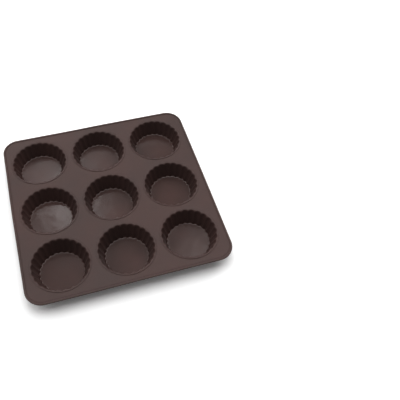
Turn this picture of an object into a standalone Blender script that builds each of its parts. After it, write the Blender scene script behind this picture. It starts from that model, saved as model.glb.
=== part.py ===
"""Square silicone baking mould with nine fluted tapered cups.

Metres, +Z up. The origin is on the surface that the mould stands on, under the middle of the
deck. The front edge faces -Y. The real mould is one silicone casting. Here the deck, the lip round
its edge and the nine cups are solids of their own, which meet face to face on shared flat faces.
"""

from math import atan2, cos, pi, sin, sqrt, tan

import bmesh
import bpy

# Layout of the cups, front row first and left column first
ROW_NAMES = ("front", "middle", "back")
COLUMN_NAMES = ("left", "centre", "right")

# Deck
DECK_THICKNESS = 0.0014
DECK_WEB = 0.011             # deck left between two neighbouring mouths, at its narrowest
DECK_MARGIN = 0.0115         # deck and lip left outside the outer mouths, at their narrowest
CORNER_RADIUS = 0.015        # outer corner, seen from above

# Lip round the deck
BEAD_WIDTH = 0.0026
BEAD_RISE = 0.0004           # how far it stands above the deck's top
BEAD_DROP = 0.0012           # how far it hangs below the deck's underside
BEAD_EDGE_RADIUS = 0.0010    # rounding of its outer edges

# One cup
CUP_DEPTH = 0.0188           # from the deck's top to the cup's floor
MOUTH_RADIUS = 0.0325        # inside, under the deck, to the middle of the flutes
WALL_LEAN = 0.0069           # how much less the radius is where the wall's line meets the floor
WALL_THICKNESS = 0.0012
FLOOR_THICKNESS = 0.0012
FLOOR_FILLET = 0.0015        # rounding between floor and wall, inside
BASE_FILLET = 0.0012         # rounding between underside and wall, outside

# Flutes of one cup
FLUTE_COUNT = 24
FLUTE_DEPTH = 0.0013         # from an inner ridge to the bottom of a lobe, at the mouth
FOOT_FLUTE_DEPTH = 0.0008    # the same at the foot of the wall
RIDGE_SHARE = 0.25           # roundness of the ridges: 0 is a knife edge, 1 an even wave

# Fineness of the faceted surfaces
POINTS_PER_FLUTE = 4
CORNER_STEPS = 8
BEAD_STEPS = 2
FILLET_STEPS = 1
WELD_DISTANCE = 0.000001
SMOOTH_ANGLE = pi / 6

# Silicone: dark brown and satin
SILICONE_COLOUR = (0.060, 0.034, 0.030, 1.0)
SILICONE_ROUGHNESS = 0.5
SILICONE_METALLIC = 0.0

# Sizes worked out from the ones above
DECK_TOP = CUP_DEPTH + FLOOR_THICKNESS
DECK_UNDERSIDE = DECK_TOP - DECK_THICKNESS
CUP_PITCH = 2 * MOUTH_RADIUS + DECK_WEB          # from one cup's axis to the next, both ways
EDGE_REACH = MOUTH_RADIUS + DECK_MARGIN          # from an outer cup's axis to the outer edge
HALF_WIDTH = (len(COLUMN_NAMES) - 1) * CUP_PITCH / 2 + EDGE_REACH
HALF_LENGTH = (len(ROW_NAMES) - 1) * CUP_PITCH / 2 + EDGE_REACH
FLOOR_RADIUS = MOUTH_RADIUS - WALL_LEAN
WALL_TAPER = atan2(WALL_LEAN, DECK_UNDERSIDE - FLOOR_THICKNESS)
WALL_RUN = WALL_THICKNESS / cos(WALL_TAPER)      # the wall's thickness, measured level
BASE_RADIUS = FLOOR_RADIUS + WALL_RUN - FLOOR_THICKNESS * tan(WALL_TAPER)


def clear_scene():
    for old in list(bpy.data.objects):
        bpy.data.objects.remove(old, do_unlink=True)


def new_collection(name):
    group = bpy.data.collections.new(name)
    bpy.context.scene.collection.children.link(group)
    return group


def silicone(name):
    material = bpy.data.materials.new(name)
    material.use_nodes = True
    shader = material.node_tree.nodes["Principled BSDF"]
    shader.inputs["Base Color"].default_value = SILICONE_COLOUR
    shader.inputs["Roughness"].default_value = SILICONE_ROUGHNESS
    shader.inputs["Metallic"].default_value = SILICONE_METALLIC
    material.diffuse_color = SILICONE_COLOUR
    return material


def flute_share(angle):
    """How far out a wall lies at this angle: 0 on an inner ridge, 1 in the middle of a lobe."""
    wave = sin(FLUTE_COUNT * angle / 2)
    lowest = RIDGE_SHARE
    highest = sqrt(1 + RIDGE_SHARE ** 2)
    return (sqrt(wave ** 2 + RIDGE_SHARE ** 2) - lowest) / (highest - lowest)


def fluted_circle(radius, depth):
    """Points of a circle whose flutes of this depth lie evenly about the radius."""
    points = []
    count = FLUTE_COUNT * POINTS_PER_FLUTE
    for index in range(count):
        angle = 2 * pi * index / count
        reach = radius + depth * (flute_share(angle) - 1 / 2)
        points.append((reach * cos(angle), reach * sin(angle)))
    return points


def rounded_square(inset):
    """The mould's outline from above, moved in by the inset, anticlockwise."""
    points = []
    for corner, (side_x, side_y) in enumerate(((1, -1), (1, 1), (-1, 1), (-1, -1))):
        for step in range(CORNER_STEPS + 1):
            angle = pi / 2 * (corner - 1 + step / CORNER_STEPS)
            x = side_x * (HALF_WIDTH - CORNER_RADIUS) + (CORNER_RADIUS - inset) * cos(angle)
            y = side_y * (HALF_LENGTH - CORNER_RADIUS) + (CORNER_RADIUS - inset) * sin(angle)
            points.append((x, y))
    return points


def quarter(centre, radius, start, steps):
    """Points of a quarter circle in a section, turning anticlockwise from the start angle."""
    points = []
    for step in range(steps + 1):
        angle = start + pi / 2 * step / steps
        points.append((centre[0] + radius * cos(angle), centre[1] + radius * sin(angle)))
    return points


def foot_fillet(corner_radius, floor_height, fillet, steps):
    """Points where a level floor turns up into the tapered wall, from the floor to the wall.

    Each point has its radius, its height and its share of the foot's flute depth.
    """
    turn = pi / 2 - WALL_TAPER
    centre_radius = corner_radius - fillet * tan(turn / 2)
    points = []
    for step in range(steps + 1):
        share = step / steps
        angle = turn * share
        radius = centre_radius + fillet * sin(angle)
        height = floor_height + fillet * (1 - cos(angle))
        points.append((radius, height, FOOT_FLUTE_DEPTH * share))
    return points


def cup_axes():
    """Name and place of each cup's axis."""
    axes = []
    for row, row_name in enumerate(ROW_NAMES):
        for column, column_name in enumerate(COLUMN_NAMES):
            x = (column - (len(COLUMN_NAMES) - 1) / 2) * CUP_PITCH
            y = (row - (len(ROW_NAMES) - 1) / 2) * CUP_PITCH
            axes.append((f"cup_{row_name}_{column_name}", x, y))
    return axes


def ring_body(name, rings, closed_section):
    """Mesh whose skin is drawn from ring to ring by extrusion, each ring a list of points.

    A closed section joins the last ring to the first, and otherwise a flat face caps each end.
    """
    work = bmesh.new()
    verts = [work.verts.new(point) for point in rings[0]]
    first_loop = [work.edges.new((verts[index - 1], verts[index])) for index in range(len(verts))]
    loop = first_loop
    for ring in rings[1:]:
        drawn = bmesh.ops.extrude_edge_only(work, edges=loop)["geom"]
        fresh = {item for item in drawn if isinstance(item, bmesh.types.BMVert)}
        verts = [next(end for edge in vert.link_edges for end in edge.verts if end in fresh)
                 for vert in verts]
        for vert, point in zip(verts, ring):
            vert.co = point
        loop = [work.edges.get((verts[index - 1], verts[index])) for index in range(len(verts))]
    if closed_section:
        bmesh.ops.bridge_loops(work, edges=first_loop + loop)
    else:
        bmesh.ops.edgeloop_fill(work, edges=first_loop)
        bmesh.ops.edgeloop_fill(work, edges=loop)
    bmesh.ops.recalc_face_normals(work, faces=work.faces)
    mesh = bpy.data.meshes.new(name)
    work.to_mesh(mesh)
    work.free()
    mesh.shade_smooth()
    mesh.set_sharp_from_angle(angle=SMOOTH_ANGLE)
    return mesh


def add_outline(curve, points):
    spline = curve.splines.new("POLY")
    spline.points.add(len(points) - 1)
    for spline_point, (x, y) in zip(spline.points, points):
        spline_point.co = (x, y, 0, 1)
    spline.use_cyclic_u = True


def make_deck(group):
    """Flat sheet inside the lip, with a fluted opening over each cup."""
    curve = bpy.data.curves.new("deck", "CURVE")
    curve.dimensions = "2D"
    curve.fill_mode = "BOTH"
    curve.extrude = DECK_THICKNESS / 2
    curve.materials.append(silicone("deck_silicone"))
    add_outline(curve, rounded_square(BEAD_WIDTH))
    for _, axis_x, axis_y in cup_axes():
        opening = fluted_circle(MOUTH_RADIUS, FLUTE_DEPTH)
        add_outline(curve, [(axis_x + x, axis_y + y) for x, y in opening])
    deck = bpy.data.objects.new("deck", curve)
    deck.location.z = DECK_TOP - DECK_THICKNESS / 2
    weld = deck.modifiers.new("weld", "WELD")
    weld.merge_threshold = WELD_DISTANCE
    group.objects.link(deck)


def make_edge_bead(group):
    """Lip round the deck. Its inner side stands against the deck's edge, and the rest is rounded."""
    top = DECK_TOP + BEAD_RISE
    bottom = DECK_UNDERSIDE - BEAD_DROP
    outer_x = -BEAD_EDGE_RADIUS
    low_edge = (outer_x, bottom + BEAD_EDGE_RADIUS)
    high_edge = (outer_x, top - BEAD_EDGE_RADIUS)
    inner_edge = (BEAD_RISE - BEAD_WIDTH, DECK_TOP)
    section = [(-BEAD_WIDTH, bottom)]
    section += quarter(low_edge, BEAD_EDGE_RADIUS, -pi / 2, BEAD_STEPS)
    section += quarter(high_edge, BEAD_EDGE_RADIUS, 0, BEAD_STEPS)
    section += quarter(inner_edge, BEAD_RISE, pi / 2, BEAD_STEPS)
    rings = [[(x, y, height) for x, y in rounded_square(-offset)] for offset, height in section]
    mesh = ring_body("edge_bead", rings, closed_section=True)
    mesh.materials.append(silicone("edge_bead_silicone"))
    group.objects.link(bpy.data.objects.new("edge_bead", mesh))


def cup_mesh():
    """One cup about its own axis: up the inside from the floor, out at the deck and down outside."""
    inside = foot_fillet(FLOOR_RADIUS, FLOOR_THICKNESS, FLOOR_FILLET, FILLET_STEPS)
    outside = foot_fillet(BASE_RADIUS, 0, BASE_FILLET, FILLET_STEPS)
    profile = inside
    profile += [(MOUTH_RADIUS, DECK_UNDERSIDE, FLUTE_DEPTH)]
    profile += [(MOUTH_RADIUS + WALL_RUN, DECK_UNDERSIDE, FLUTE_DEPTH)]
    profile += reversed(outside)
    rings = [[(x, y, height) for x, y in fluted_circle(radius, depth)]
             for radius, height, depth in profile]
    mesh = ring_body("cup", rings, closed_section=False)
    mesh.materials.append(silicone("cup_silicone"))
    return mesh


def make_cups(group):
    shared_mesh = cup_mesh()
    for name, axis_x, axis_y in cup_axes():
        cup = bpy.data.objects.new(name, shared_mesh)
        cup.location = (axis_x, axis_y, 0)
        group.objects.link(cup)


clear_scene()
mould = new_collection("silicone_baking_mould")
make_deck(mould)
make_edge_bead(mould)
make_cups(mould)
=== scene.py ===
"""Looks of the silicone baking mould: fine skins, silicone, studio floor, light and camera.

Metres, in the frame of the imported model. The skins follow the model's solids, one skin for each
solid, and meet each other on flat stretches of the deck, so that no joint shows between them.
"""

from math import atan2, copysign, cos, hypot, pi, radians, sin, sqrt, tan

import bmesh
import bpy
from mathutils import Matrix, Vector


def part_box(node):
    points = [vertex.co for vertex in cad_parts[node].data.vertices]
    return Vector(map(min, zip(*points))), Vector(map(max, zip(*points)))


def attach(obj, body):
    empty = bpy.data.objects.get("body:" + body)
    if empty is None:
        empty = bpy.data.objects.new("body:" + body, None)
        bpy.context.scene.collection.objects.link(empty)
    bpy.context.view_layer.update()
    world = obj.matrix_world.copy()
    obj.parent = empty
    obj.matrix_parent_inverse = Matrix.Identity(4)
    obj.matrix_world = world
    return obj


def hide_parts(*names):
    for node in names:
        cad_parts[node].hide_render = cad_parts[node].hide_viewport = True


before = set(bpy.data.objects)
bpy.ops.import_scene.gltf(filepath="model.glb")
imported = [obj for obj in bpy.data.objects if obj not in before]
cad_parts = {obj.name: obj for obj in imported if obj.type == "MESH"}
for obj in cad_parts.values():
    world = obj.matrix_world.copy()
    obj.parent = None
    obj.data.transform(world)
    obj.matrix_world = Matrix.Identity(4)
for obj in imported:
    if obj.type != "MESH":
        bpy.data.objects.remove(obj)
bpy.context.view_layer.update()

ROOT = "root"
ROW_NAMES = ("front", "middle", "back")
COLUMN_NAMES = ("left", "centre", "right")


def middle(node):
    """Middle of a node's box."""
    low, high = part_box(node)
    return (low + high) / 2


# Places read from the frame
deck_low, deck_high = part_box("deck")
bead_low, bead_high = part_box("edge_bead")
DECK_TOP = deck_high.z
DECK_UNDERSIDE = deck_low.z
BEAD_TOP = bead_high.z
BEAD_BOTTOM = bead_low.z
HALF_SIDE = bead_high.x
BEAD_WIDTH = bead_high.x - deck_high.x
CUP_PITCH = middle("cup_middle_right").x - middle("cup_middle_centre").x

# Sizes of a cup, as in the solids
MOUTH_RADIUS = 0.0325        # inside, to the middle of the flutes
FLOOR_RADIUS = 0.0256
FLOOR_THICKNESS = 0.0012
WALL_THICKNESS = 0.0012
FLUTE_COUNT = 24
FLUTE_DEPTH = 0.0013         # from an inner ridge to the bottom of a lobe, at the mouth
FOOT_FLUTE_DEPTH = 0.0008    # the same at the foot of the outside
RIDGE_SHARE = 0.25           # roundness of the ridges: 0 is a knife edge, 1 an even wave
WALL_TAPER = atan2(MOUTH_RADIUS - FLOOR_RADIUS, DECK_UNDERSIDE - FLOOR_THICKNESS)
WALL_RUN = WALL_THICKNESS / cos(WALL_TAPER)  # the wall's thickness, measured level
BASE_RADIUS = FLOOR_RADIUS + WALL_RUN - FLOOR_THICKNESS * tan(WALL_TAPER)

# Fine forms of a cup that the solids lack, or have in another size
FLOOR_FILLET = 0.0018        # rounding between floor and wall, inside
BASE_FILLET = 0.0013         # rounding between underside and wall, outside
ROOT_FILLET = 0.0010         # rounding between wall and deck, outside
MOUTH_FILLET = 0.0024        # rounding between wall and lip, inside
STEP_FILLET = 0.0001         # roundings of the lip's outer edge
INNER_FOOT_FLUTE_DEPTH = 0.0012  # depth of the flutes at the foot of the inside
WALL_FLUTE_DEPTH = 0.0006    # their depth halfway up the inside, where they are flattest
LIP_FLUTE_DEPTH = 0.0004     # what is left of them on top of the lip
FLOOR_FLUTE_DEPTH = 0.0010   # how far they still reach into the edge of the floor
FLOOR_FLUTE_RUN = 0.0016     # over which they fade out on the floor
LIP_RISE = 0.0003            # how far the mouth's lip stands above the deck
LIP_REACH = 0.0348           # radius at which the lip steps down to the deck

# Fine forms of the edge
CORNER_RADIUS = 0.020        # outer corner seen from above, rounder than in the solids
CREASE_FILLET = 0.00018
BEAD_FILLET = 0.0007         # rounding of the bead's top edge
BEAD_SIDE = 0.0015           # height of the bead's upright outer side
BEAD_SIDE_FILLET = 0.0003
BEAD_UNDERCUT = 0.0014       # how far the bead's outer side draws in below that
BEAD_RISE_RUN = 0.0003       # how far the bead's inner side leans

# Fine grooves round the lips and where the deck meets the bead
GROOVE_WIDTH = 0.0007
GROOVE_DEPTH = 0.0002

# Where the skins meet
CUP_SEAM_RADIUS = 0.0364
BEAD_SEAM_INSET = 0.0046
SEAM_HALF_SIDE = HALF_SIDE - BEAD_SEAM_INSET
SEAM_CORNER_RADIUS = CORNER_RADIUS - BEAD_SEAM_INSET
CORNER_CENTRE = HALF_SIDE - CORNER_RADIUS  # distance of the corners' centres along X and Y

# Slow unevenness of a soft sheet that stands on nine feet
EDGE_DROOP = 0.0008          # how far the outer edge sinks at most
DROOP_START_SHARE = 0.62     # where the droop starts, as a share of half the deck's side
DROOP_WAVE_LENGTH = 0.21
DROOP_WAVE_START_SHARES = (0.05, 0.30)
SHEET_WAVE_HEIGHT = 0.00016
SHEET_WAVE_LENGTH = 0.083
SHEET_WAVE_START_SHARES = (0.11, 0.33)
MOUTH_DIP = 0.00016          # how far the deck dips towards each mouth
MOUTH_DIP_REACH = 0.0388     # radius about a cup's axis at which the dip starts
LEFT_DRAW_IN = 0.0004        # how far the margin of the left side is drawn in all along
BACK_LEFT_DRAW_IN = 0.0012   # and how much further at its back end
DRAW_IN_INNER_SHARE = 0.70   # nothing gives further in than this share of half the side
DRAW_IN_START_SHARE = 0.91   # where the margin beside a cup starts to give, as such a share
DRAW_IN_FULL_SHARE = 0.98    # and where it has given all it does

# Fineness
POINTS_PER_FLUTE = 12
POINTS_AROUND = FLUTE_COUNT * POINTS_PER_FLUTE
RIDGE_CROWDING = 0.5         # how much closer the points lie on the ridges, as a share
FILLET_STEPS = 6
FILLET_BORDER = 0.00003      # narrow strip beside each rounding, which keeps the flat faces flat
FLOOR_STEPS = 4
BASE_STEPS = 2
WALL_STEPS = 8
LIP_STEPS = 3
DECK_STEPS = 6
MERGE_DISTANCE = 0.000002
SMOOTH_ANGLE = radians(30)


def between(low, high, share):
    """Value at this share of the way from low to high."""
    return low + (high - low) * share


def point_between(start, end, share):
    return (between(start[0], end[0], share), between(start[1], end[1], share))


def ramp(value, start, end):
    """Share of the way from the start to the end, held between 0 and 1."""
    return min(1.0, max(0.0, (value - start) / (end - start)))


def eased(share):
    """Share between 0 and 1 that starts and ends gently."""
    return share ** 2 * (3 - 2 * share)


def arched(share):
    """0 at both ends of the way and 1 halfway."""
    return 4 * share * (1 - share)


def held(value, limit):
    """Value held between minus the limit and the limit."""
    return max(-limit, min(limit, value))


# Give of the soft sheet
def slow_wave(x, y, length, start_shares):
    """Wave over the deck between 0 and 1."""
    across = sin(2 * pi * (x / length + start_shares[0]))
    along = sin(2 * pi * (y / length + start_shares[1]))
    return (1 + across * along) / 2


def from_cup(x, y):
    """Distance from a place on the deck to the axis of the nearest cup."""
    near_x = held(round(x / CUP_PITCH) * CUP_PITCH, CUP_PITCH)
    near_y = held(round(y / CUP_PITCH) * CUP_PITCH, CUP_PITCH)
    return hypot(x - near_x, y - near_y)


def draw_in(x, y):
    """Where a point of the deck lies along X once the left margin is drawn in."""
    start = DRAW_IN_START_SHARE * HALF_SIDE - CUP_PITCH
    full = DRAW_IN_FULL_SHARE * HALF_SIDE - CUP_PITCH
    margin = eased(ramp(from_cup(x, y), start, full))
    margin *= eased(ramp(-x, DRAW_IN_INNER_SHARE * HALF_SIDE, DRAW_IN_FULL_SHARE * HALF_SIDE))
    back = eased(ramp(y, 0, CORNER_CENTRE))
    return x + margin * (LEFT_DRAW_IN + BACK_LEFT_DRAW_IN * back)


def settle(point):
    """Moves a point of the mould a little where the soft silicone gives. The feet stay put."""
    x, y, z = point
    outer = ramp(max(abs(x), abs(y)) / HALF_SIDE, DROOP_START_SHARE, 1)
    drop = EDGE_DROOP * outer ** 2 * slow_wave(x, y, DROOP_WAVE_LENGTH, DROOP_WAVE_START_SHARES)
    drop += SHEET_WAVE_HEIGHT * slow_wave(x, y, SHEET_WAVE_LENGTH, SHEET_WAVE_START_SHARES)
    drop += MOUTH_DIP * ramp(from_cup(x, y), MOUTH_DIP_REACH, MOUTH_RADIUS) ** 2
    lift = max(0.0, z / DECK_TOP)
    return (draw_in(x, y), y, z - lift ** 2 * drop)


# Meshes and sections
def finish_mesh(name, points, faces):
    """Mesh with its faces pointing out, smooth except at its sharp edges."""
    mesh = bpy.data.meshes.new(name)
    mesh.from_pydata([settle(point) for point in points], [], faces)
    work = bmesh.new()
    work.from_mesh(mesh)
    bmesh.ops.remove_doubles(work, verts=work.verts, dist=MERGE_DISTANCE)
    bmesh.ops.recalc_face_normals(work, faces=work.faces)
    work.to_mesh(mesh)
    work.free()
    mesh.shade_smooth()
    mesh.set_sharp_from_angle(angle=SMOOTH_ANGLE)
    return mesh


def strip_faces(first, second, count):
    """Quads between two rings of points, given the index at which each ring starts."""
    faces = []
    for index in range(count):
        after = (index + 1) % count
        faces.append((first + index, first + after, second + after, second + index))
    return faces


def fan_faces(tip, ring, count):
    """Triangles between a point and the ring round it."""
    return [(tip, ring + index, ring + (index + 1) % count) for index in range(count)]


def rounded_corner(before, corner, after, radius):
    """Arc in a section that rounds a corner, with a border point on the leg at each end."""
    corner = Vector(corner)
    arriving = (Vector(before) - corner).normalized()
    leaving = (Vector(after) - corner).normalized()
    half_angle = arriving.angle(leaving) / 2
    cut = radius / tan(half_angle)
    centre = corner + (arriving + leaving).normalized() * (radius / sin(half_angle))
    start = corner + arriving * cut - centre
    end = corner + leaving * cut - centre
    turn = atan2(start.x * end.y - start.y * end.x, start.dot(end))
    start_angle = atan2(start.y, start.x)
    points = [tuple(corner + arriving * (cut + FILLET_BORDER))]
    for step in range(FILLET_STEPS + 1):
        angle = start_angle + turn * step / FILLET_STEPS
        points.append((centre.x + radius * cos(angle), centre.y + radius * sin(angle)))
    points.append(tuple(corner + leaving * (cut + FILLET_BORDER)))
    return points


def straight(start, end, steps):
    """Points between two section points, without the two."""
    return [point_between(start, end, step / steps) for step in range(1, steps)]


# Flutes of a cup
def flute_share(angle):
    """How far out a wall lies at this angle: 0 on an inner ridge, 1 in the middle of a lobe."""
    wave = sin(FLUTE_COUNT * angle / 2)
    highest = sqrt(1 + RIDGE_SHARE ** 2)
    return (sqrt(wave ** 2 + RIDGE_SHARE ** 2) - RIDGE_SHARE) / (highest - RIDGE_SHARE)


def angles_around():
    """Angles of the points of a ring, closer together on the ridges than in the lobes."""
    angles = []
    for index in range(POINTS_AROUND):
        turn = 2 * pi * index / POINTS_PER_FLUTE
        angles.append((turn - RIDGE_CROWDING * sin(turn)) / FLUTE_COUNT)
    return angles


ANGLES = angles_around()
FLUTE_SHARES = [flute_share(angle) for angle in ANGLES]
DIRECTIONS = [(cos(angle), sin(angle)) for angle in ANGLES]


def fluted_ring(axis, radius, height, depth):
    """Ring about a cup's axis whose flutes of this depth lie evenly about the radius."""
    ring = []
    for (along_x, along_y), share in zip(DIRECTIONS, FLUTE_SHARES):
        reach = radius + depth * (share - 1 / 2)
        ring.append((axis[0] + reach * along_x, axis[1] + reach * along_y, height))
    return ring


def unfluted(points):
    """Section points with a flute depth of zero."""
    return [(radius, height, 0) for radius, height in points]


def fluted(points, first_depth, last_depth):
    """Section points with a flute depth each, which changes evenly from the first to the last."""
    steps = len(points) - 1
    return [(radius, height, between(first_depth, last_depth, step / steps))
            for step, (radius, height) in enumerate(points)]


def wall_flutes(points):
    """Section points up a cup's inner wall, with flutes that are flattest about halfway up."""
    steps = len(points) + 1
    sag = (INNER_FOOT_FLUTE_DEPTH + FLUTE_DEPTH) / 2 - WALL_FLUTE_DEPTH
    section = []
    for step, (radius, height) in enumerate(points, start=1):
        share = step / steps
        depth = between(INNER_FOOT_FLUTE_DEPTH, FLUTE_DEPTH, share) - sag * arched(share)
        section.append((radius, height, depth))
    return section


# Cups
def lip_edge(seam):
    """Section points of a lip's outer edge, down its step and out of the fine groove beside it."""
    top = (LIP_REACH, DECK_TOP + LIP_RISE)
    foot = (LIP_REACH, DECK_TOP - GROOVE_DEPTH)
    groove_end = (LIP_REACH + GROOVE_WIDTH, DECK_TOP)
    points = rounded_corner((MOUTH_RADIUS, top[1]), top, foot, STEP_FILLET)
    points += rounded_corner(top, foot, groove_end, STEP_FILLET)
    points += rounded_corner(foot, groove_end, seam, STEP_FILLET)
    return points


def cup_inside():
    """Section of a cup's inside from near the floor's centre to the seam on the deck."""
    floor_centre = (0, FLOOR_THICKNESS)
    floor_corner = (FLOOR_RADIUS, FLOOR_THICKNESS)
    rim_corner = (MOUTH_RADIUS, DECK_TOP + LIP_RISE)
    lip_end = (LIP_REACH, DECK_TOP + LIP_RISE)
    seam = (CUP_SEAM_RADIUS, DECK_TOP)
    foot = rounded_corner(floor_centre, floor_corner, rim_corner, FLOOR_FILLET)
    mouth = rounded_corner(floor_corner, rim_corner, lip_end, MOUTH_FILLET)
    edge = lip_edge(seam)
    flat_end = (foot[0][0] - FLOOR_FLUTE_RUN, FLOOR_THICKNESS)
    section = unfluted(straight(floor_centre, flat_end, FLOOR_STEPS) + [flat_end])
    section += fluted(foot, FLOOR_FLUTE_DEPTH, INNER_FOOT_FLUTE_DEPTH)
    section += wall_flutes(straight(foot[-1], mouth[0], WALL_STEPS))
    section += fluted(mouth, FLUTE_DEPTH, LIP_FLUTE_DEPTH)
    section += unfluted(edge + straight(edge[-1], seam, LIP_STEPS) + [seam])
    return section


def cup_outside():
    """Section of a cup's outside from near the base's centre to the seam under the deck."""
    base_centre = (0, 0)
    base_corner = (BASE_RADIUS, 0)
    root_corner = (MOUTH_RADIUS + WALL_RUN, DECK_UNDERSIDE)
    seam = (CUP_SEAM_RADIUS, DECK_UNDERSIDE)
    foot = rounded_corner(base_centre, base_corner, root_corner, BASE_FILLET)
    root = rounded_corner(base_corner, root_corner, seam, ROOT_FILLET)
    section = unfluted(straight(base_centre, foot[0], BASE_STEPS))
    section += fluted(foot, 0, FOOT_FLUTE_DEPTH)
    section += fluted(straight(foot[-1], root[0], WALL_STEPS), FOOT_FLUTE_DEPTH, FLUTE_DEPTH)
    section += fluted(root[:-1], FLUTE_DEPTH, FLUTE_DEPTH)
    section += unfluted([seam])
    return section


def cup_skin_mesh(name, axis):
    """Closed skin of one cup, up its inside from the floor's centre and down its outside."""
    points = [(axis[0], axis[1], FLOOR_THICKNESS)]
    section = cup_inside() + cup_outside()[::-1]
    for radius, height, depth in section:
        points += fluted_ring(axis, radius, height, depth)
    base_centre = len(points)
    points.append((axis[0], axis[1], 0))
    faces = fan_faces(0, 1, POINTS_AROUND)
    for number in range(len(section) - 1):
        first = 1 + number * POINTS_AROUND
        faces += strip_faces(first, first + POINTS_AROUND, POINTS_AROUND)
    faces += fan_faces(base_centre, base_centre - POINTS_AROUND, POINTS_AROUND)
    return finish_mesh(name, points, faces)


def cup_axes():
    """Name and place of each cup's axis, read from the frame."""
    axes = []
    for row_name in ROW_NAMES:
        for column_name in COLUMN_NAMES:
            node = f"cup_{row_name}_{column_name}"
            centre = middle(node)
            axes.append((node, (centre.x, centre.y)))
    return axes


# Deck, in nine cells of which each surrounds a cup
def cell_limits(place):
    """How far a cell reaches below and above its cup's axis, along X or along Y."""
    low = -CUP_PITCH / 2
    high = CUP_PITCH / 2
    if place < low:
        low = -SEAM_HALF_SIDE - place
    if place > high:
        high = SEAM_HALF_SIDE - place
    return low, high


def round_off(axis, direction, reach):
    """End of a ray from an axis, drawn in where it would pass the deck's rounded corner."""
    x = axis[0] + direction[0] * reach
    y = axis[1] + direction[1] * reach
    if min(abs(x), abs(y)) <= CORNER_CENTRE:
        return (x, y)
    centre_x = copysign(CORNER_CENTRE, x)
    centre_y = copysign(CORNER_CENTRE, y)
    from_corner = Vector((axis[0] - centre_x, axis[1] - centre_y))
    along = from_corner.dot(Vector(direction))
    root = sqrt(along ** 2 - from_corner.length_squared + SEAM_CORNER_RADIUS ** 2)
    return (axis[0] + direction[0] * (root - along), axis[1] + direction[1] * (root - along))


def cell_edge(axis):
    """Points where the rays of a cup's ring meet the edge of its cell.

    At each square corner of the cell, the nearest of them moves onto the corner.
    """
    left, right = cell_limits(axis[0])
    front, back = cell_limits(axis[1])
    edge = []
    for along_x, along_y in DIRECTIONS:
        reaches = []
        if abs(along_x) > MERGE_DISTANCE:
            reaches.append((right if along_x > 0 else left) / along_x)
        if abs(along_y) > MERGE_DISTANCE:
            reaches.append((back if along_y > 0 else front) / along_y)
        edge.append(round_off(axis, (along_x, along_y), min(reaches)))
    for corner in ((left, front), (right, front), (right, back), (left, back)):
        place = (axis[0] + corner[0], axis[1] + corner[1])
        if min(abs(place[0]), abs(place[1])) < CORNER_CENTRE:
            towards = Vector(corner).normalized()
            nearest = max(range(POINTS_AROUND),
                          key=lambda index: Vector(DIRECTIONS[index]).dot(towards))
            edge[nearest] = place
    return edge


def on_outline(point):
    """Whether a point of a cell's edge lies on the deck's outer seam."""
    x, y = abs(point[0]), abs(point[1])
    if min(x, y) > CORNER_CENTRE:
        return True
    return abs(max(x, y) - SEAM_HALF_SIDE) < MERGE_DISTANCE


def deck_cell(points, faces, axis):
    """Adds one cell of the deck: its top, its underside, its hole's side and its outer side."""
    edge = cell_edge(axis)
    seam = [(axis[0] + CUP_SEAM_RADIUS * along_x, axis[1] + CUP_SEAM_RADIUS * along_y)
            for along_x, along_y in DIRECTIONS]
    starts = []
    for height in (DECK_TOP, DECK_UNDERSIDE):
        starts.append(len(points))
        for step in range(DECK_STEPS + 1):
            share = step / DECK_STEPS
            for inner, outer in zip(seam, edge):
                points.append((*point_between(inner, outer, share), height))
        for step in range(DECK_STEPS):
            first = starts[-1] + step * POINTS_AROUND
            faces += strip_faces(first, first + POINTS_AROUND, POINTS_AROUND)
    top, underside = starts
    faces += strip_faces(top, underside, POINTS_AROUND)
    last_ring = DECK_STEPS * POINTS_AROUND
    outer_faces = strip_faces(top + last_ring, underside + last_ring, POINTS_AROUND)
    for index, face in enumerate(outer_faces):
        after = (index + 1) % POINTS_AROUND
        if on_outline(edge[index]) and on_outline(edge[after]):
            faces.append(face)


def deck_skin_mesh(name):
    """Closed skin of the deck between the cups' seams and the bead's seam."""
    points = []
    faces = []
    for _, axis in cup_axes():
        deck_cell(points, faces, axis)
    return finish_mesh(name, points, faces)


# Bead
def outline_points():
    """The deck's outer seam, anticlockwise, with the direction square to it at each point."""
    found = []
    for _, axis in cup_axes():
        found += [point for point in cell_edge(axis) if on_outline(point)]
    found.sort(key=lambda point: atan2(point[1], point[0]))
    outline = []
    for x, y in found:
        place = Vector((x, y))
        if outline and (place - outline[-1][0]).length < MERGE_DISTANCE:
            continue
        core = Vector((held(x, CORNER_CENTRE), held(y, CORNER_CENTRE)))
        outline.append((place, (place - core).normalized()))
    return outline


def bead_section():
    """Closed section of the bead's skin, as inset from the outer edge and height."""
    groove_floor = DECK_TOP - GROOVE_DEPTH
    corners = (
        ((BEAD_SEAM_INSET, DECK_TOP), 0),
        ((BEAD_WIDTH + GROOVE_WIDTH, DECK_TOP), CREASE_FILLET),
        ((BEAD_WIDTH + GROOVE_WIDTH / 2, groove_floor), CREASE_FILLET),
        ((BEAD_WIDTH, groove_floor), CREASE_FILLET),
        ((BEAD_WIDTH - BEAD_RISE_RUN, BEAD_TOP), CREASE_FILLET),
        ((0, BEAD_TOP), BEAD_FILLET),
        ((0, BEAD_TOP - BEAD_SIDE), BEAD_SIDE_FILLET),
        ((BEAD_UNDERCUT, BEAD_BOTTOM), BEAD_SIDE_FILLET),
        ((BEAD_WIDTH, BEAD_BOTTOM), CREASE_FILLET),
        ((BEAD_WIDTH, DECK_UNDERSIDE), CREASE_FILLET),
        ((BEAD_SEAM_INSET, DECK_UNDERSIDE), 0),
    )
    section = []
    for index, (corner, radius) in enumerate(corners):
        if radius == 0:
            section.append(corner)
            continue
        before = corners[index - 1][0]
        after = corners[index + 1][0]
        section += rounded_corner(before, corner, after, radius)
    return section


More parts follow.
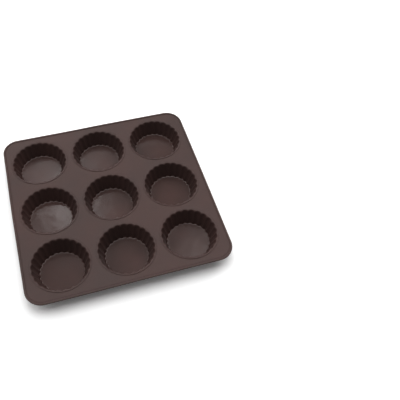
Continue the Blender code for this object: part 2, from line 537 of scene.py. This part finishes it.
def bead_skin_mesh(name):
    """Closed skin of the bead, with the groove inside it, drawn round the deck's outer seam."""
    outline = outline_points()
    count = len(outline)
    section = bead_section()
    points = []
    for inset, height in section:
        for place, outward in outline:
            moved = place + outward * (BEAD_SEAM_INSET - inset)
            points.append((moved.x, moved.y, height))
    faces = []
    for number in range(len(section)):
        after = (number + 1) % len(section)
        faces += strip_faces(number * count, after * count, count)
    return finish_mesh(name, points, faces)


# Silicone. Its colours are linear red, green and blue.
BROWN = (0.062, 0.036, 0.032)
DULL_BROWN = (0.056, 0.034, 0.0305)
WARM_BROWN = (0.068, 0.038, 0.0335)
DUST_BROWN = (0.085, 0.060, 0.052)
SILICONE_IOR = 1.41

# Its noises: the size of a feature, the detail and the roughness
MOTTLE_NOISE = (0.045, 3.0, 0.5)
CLOUD_NOISE = (0.012, 4.0, 0.6)
DUST_NOISE = (0.0006, 1.0, 0.4)
WARP_NOISE = (0.015, 1.0, 0.4)
PEEL_NOISE = (0.0032, 2.0, 0.5)
GRAIN_NOISE = (0.00045, 2.0, 0.6)

# Where each mark fades in among its noise's values, and the most of it that shows
MOTTLE_RANGE = (0.35, 0.65)
CLOUD_RANGE = (0.40, 0.75)
CLOUD_SHARE = 0.5
DUST_RANGE = (0.66, 0.80)
DUST_SHARE = 0.12
SMUDGE_RANGE = (0.3, 0.7)

# Its relief
WARP_HEIGHT = 0.00018
PEEL_HEIGHT = 0.00002
GRAIN_HEIGHT = 0.00001

# Its gloss, from the floors of the cups up to the deck
FLOOR_ROUGHNESS = 0.20
WALL_ROUGHNESS = 0.45
DECK_ROUGHNESS = 0.52
SMUDGE_ROUGHNESS = 0.02      # how much rougher or smoother a smudge is
FLOOR_GLOSS_TOP = 0.0026     # below this height a surface has the floors' gloss
WALL_GLOSS_BOTTOM = 0.0050   # above this one it has the walls' gloss
DECK_GLOSS_RUN = 0.0040      # run under the deck over which the walls' gloss becomes the deck's


def add_node(tree, kind, **settings):
    node = tree.nodes.new(kind)
    for key, value in settings.items():
        setattr(node, key, value)
    return node


def link(tree, source, target):
    tree.links.new(source, target)


def add_noise(tree, place, noise):
    """Noise between 0 and 1, given the size of its features, its detail and its roughness."""
    size, detail, roughness = noise
    texture = add_node(tree, "ShaderNodeTexNoise")
    texture.inputs["Scale"].default_value = 1 / size
    texture.inputs["Detail"].default_value = detail
    texture.inputs["Roughness"].default_value = roughness
    link(tree, place, texture.inputs["Vector"])
    return texture.outputs["Fac"]


def add_range(tree, value, source, target):
    """Maps a value from the source range to the target range, and holds it there."""
    mapped = add_node(tree, "ShaderNodeMapRange")
    link(tree, value, mapped.inputs["Value"])
    mapped.inputs["From Min"].default_value, mapped.inputs["From Max"].default_value = source
    mapped.inputs["To Min"].default_value, mapped.inputs["To Max"].default_value = target
    return mapped.outputs["Result"]


def add_sum(tree, first, second):
    total = add_node(tree, "ShaderNodeMath", operation="ADD")
    link(tree, first, total.inputs[0])
    link(tree, second, total.inputs[1])
    return total.outputs["Value"]


def add_colour_mix(tree, share, first, second):
    """Colour between the first and the second, each a colour or a socket."""
    mix = add_node(tree, "ShaderNodeMix", data_type="RGBA")
    link(tree, share, mix.inputs["Factor"])
    for colour, name in ((first, "A"), (second, "B")):
        socket = next(one for one in mix.inputs if one.name == name and one.type == "RGBA")
        if isinstance(colour, tuple):
            socket.default_value = (*colour, 1.0)
        else:
            link(tree, colour, socket)
    return next(one for one in mix.outputs if one.type == "RGBA")


def add_bump(tree, height, distance, normal=None):
    """Normal of a surface that a height of 1 raises by the distance, on top of another normal."""
    bump = add_node(tree, "ShaderNodeBump")
    bump.inputs["Distance"].default_value = distance
    link(tree, height, bump.inputs["Height"])
    if normal:
        link(tree, normal, bump.inputs["Normal"])
    return bump.outputs["Normal"]


def add_silicone_colour(tree, place, mottle):
    """Colour of dull and warm patches, with clouds of the plain brown and a little dust."""
    patches = add_range(tree, mottle, MOTTLE_RANGE, (0, 1))
    mottled = add_colour_mix(tree, patches, DULL_BROWN, WARM_BROWN)
    clouds = add_range(tree, add_noise(tree, place, CLOUD_NOISE), CLOUD_RANGE, (0, CLOUD_SHARE))
    clouded = add_colour_mix(tree, clouds, mottled, BROWN)
    dust = add_range(tree, add_noise(tree, place, DUST_NOISE), DUST_RANGE, (0, DUST_SHARE))
    return add_colour_mix(tree, dust, clouded, DUST_BROWN)


def add_silicone_roughness(tree, place, mottle):
    """Roughness that grows with the height above the floors, with slight smudges."""
    split = add_node(tree, "ShaderNodeSeparateXYZ")
    link(tree, place, split.inputs["Vector"])
    height = split.outputs["Z"]
    walls = add_range(tree, height, (FLOOR_GLOSS_TOP, WALL_GLOSS_BOTTOM),
                      (FLOOR_ROUGHNESS, WALL_ROUGHNESS))
    deck = add_range(tree, height, (DECK_UNDERSIDE - DECK_GLOSS_RUN, DECK_UNDERSIDE),
                     (0, DECK_ROUGHNESS - WALL_ROUGHNESS))
    smudges = add_range(tree, mottle, SMUDGE_RANGE, (-SMUDGE_ROUGHNESS, SMUDGE_ROUGHNESS))
    return add_sum(tree, add_sum(tree, walls, deck), smudges)


def add_silicone_relief(tree, place):
    """Normal of a slightly warped surface with an uneven skin and a fine grain."""
    warp = add_bump(tree, add_noise(tree, place, WARP_NOISE), WARP_HEIGHT)
    peel = add_bump(tree, add_noise(tree, place, PEEL_NOISE), PEEL_HEIGHT, warp)
    return add_bump(tree, add_noise(tree, place, GRAIN_NOISE), GRAIN_HEIGHT, peel)


def silicone(name):
    """Brown silicone, satin on the deck and the walls and glossier in the cups' floors."""
    material = bpy.data.materials.new(name)
    material.use_nodes = True
    tree = material.node_tree
    shader = tree.nodes["Principled BSDF"]
    shader.inputs["IOR"].default_value = SILICONE_IOR
    place = add_node(tree, "ShaderNodeTexCoord").outputs["Object"]
    mottle = add_noise(tree, place, MOTTLE_NOISE)
    link(tree, add_silicone_colour(tree, place, mottle), shader.inputs["Base Color"])
    link(tree, add_silicone_roughness(tree, place, mottle), shader.inputs["Roughness"])
    link(tree, add_silicone_relief(tree, place), shader.inputs["Normal"])
    return material


# The mould, one skin for each node
def add_piece(name, mesh, material, node):
    mesh.materials.append(material)
    piece = bpy.data.objects.new(name, mesh)
    bpy.context.scene.collection.objects.link(piece)
    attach(piece, ROOT)
    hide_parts(node)


def make_mould():
    add_piece("deck_skin", deck_skin_mesh("deck_skin"), silicone("deck_look"), "deck")
    add_piece("edge_bead_skin", bead_skin_mesh("edge_bead_skin"), silicone("edge_bead_look"),
              "edge_bead")
    cup_look = silicone("cup_look")
    for node, axis in cup_axes():
        name = f"{node}_skin"
        add_piece(name, cup_skin_mesh(name, axis), cup_look, node)


# Studio floor
STUDIO_HALF_SIDE = 12.0
STUDIO_WHITE = (0.82, 0.82, 0.82, 1.0)
STUDIO_ROUGHNESS = 0.9
STUDIO_GLOW = 0.12           # light that the floor gives off, as a lit table does
PURE_WHITE = (1.0, 1.0, 1.0, 1.0)


def make_studio_floor():
    half = STUDIO_HALF_SIDE
    corners = [(-half, -half, 0), (half, -half, 0), (half, half, 0), (-half, half, 0)]
    mesh = bpy.data.meshes.new("floor")
    mesh.from_pydata(corners, [], [(0, 1, 2, 3)])
    material = bpy.data.materials.new("floor_look")
    material.use_nodes = True
    shader = material.node_tree.nodes["Principled BSDF"]
    shader.inputs["Base Color"].default_value = STUDIO_WHITE
    shader.inputs["Roughness"].default_value = STUDIO_ROUGHNESS
    shader.inputs["Emission Color"].default_value = PURE_WHITE
    shader.inputs["Emission Strength"].default_value = STUDIO_GLOW
    mesh.materials.append(material)
    floor = bpy.data.objects.new("floor", mesh)
    bpy.context.scene.collection.objects.link(floor)


def aim(thing, place, target, roll=0.0):
    """Puts a lamp or the camera at a place, aims it at the target and rolls it about its view."""
    ahead = (Vector(target) - Vector(place)).normalized()
    level = ahead.cross(Vector((0, 0, 1))).normalized()
    upward = level.cross(ahead)
    right = level * cos(roll) + upward * sin(roll)
    up = upward * cos(roll) - level * sin(roll)
    turned = Matrix((right, up, -ahead)).transposed().to_4x4()
    thing.matrix_world = Matrix.Translation(place) @ turned


# Light
LAMP_DISTANCE = 2.5
LAMP_TARGET = (0, 0, 0)
WORLD_STRENGTH = 0.107

# Name, azimuth, elevation, side and radiance of each lamp, with the angles in degrees. Azimuth 0 is
# behind the mould, and 90 is on its right. The two small glints show in the floors of single cups.
SOFTBOXES = (
    ("top_softbox", 0, 88, 1.6, 4.4),
    ("back_softbox", -6, 26, 2.0, 2.6),
    ("left_softbox", -98, 50, 1.4, 1.5),
    ("right_softbox", 105, 62, 1.2, 2.2),
    ("back_left_softbox", -60, 42, 1.2, 3.3),
    ("back_right_softbox", 60, 42, 1.2, 5.6),
    ("upper_softbox", 10, 58, 1.3, 0.5),
    ("left_glint", -1, 54, 0.2, 17.5),
    ("right_glint", 33, 61, 0.2, 6.5),
)


def add_softbox(name, azimuth, elevation, side, radiance):
    """Square lamp that looks at the mould and whose face shines evenly with this radiance."""
    lamp = bpy.data.lights.new(name, "AREA")
    lamp.shape = "SQUARE"
    lamp.size = side
    lamp.energy = radiance * pi * side ** 2
    box = bpy.data.objects.new(name, lamp)
    bpy.context.scene.collection.objects.link(box)
    level = LAMP_DISTANCE * cos(radians(elevation))
    place = (level * sin(radians(azimuth)), level * cos(radians(azimuth)),
             LAMP_DISTANCE * sin(radians(elevation)))
    aim(box, place, LAMP_TARGET)
    box.visible_camera = False


def make_light():
    for softbox in SOFTBOXES:
        add_softbox(*softbox)
    world = bpy.data.worlds.new("studio")
    world.use_nodes = True
    background = world.node_tree.nodes["Background"]
    background.inputs["Color"].default_value = PURE_WHITE
    background.inputs["Strength"].default_value = WORLD_STRENGTH
    bpy.context.scene.world = world


# Camera
CAMERA_PLACE = (-0.0556, -0.3842, 0.5560)
CAMERA_TARGET = (0.0793, -0.0278, DECK_TOP)
CAMERA_ROLL = radians(4.40)
CAMERA_LENS_MM = 48.18
CAMERA_SENSOR_MM = 36.0
CAMERA_SHIFT = 0.05
PRINT_GAMMA = 0.8            # under 1 deepens the shadows, as a photo print does


def make_camera():
    data = bpy.data.cameras.new("camera")
    data.sensor_width = CAMERA_SENSOR_MM
    data.lens = CAMERA_LENS_MM
    data.shift_x = CAMERA_SHIFT
    camera = bpy.data.objects.new("camera", data)
    bpy.context.scene.collection.objects.link(camera)
    aim(camera, CAMERA_PLACE, CAMERA_TARGET, CAMERA_ROLL)
    bpy.context.scene.camera = camera
    bpy.context.scene.view_settings.view_transform = "Standard"
    bpy.context.scene.view_settings.gamma = PRINT_GAMMA


make_camera()
make_mould()
make_studio_floor()
make_light()
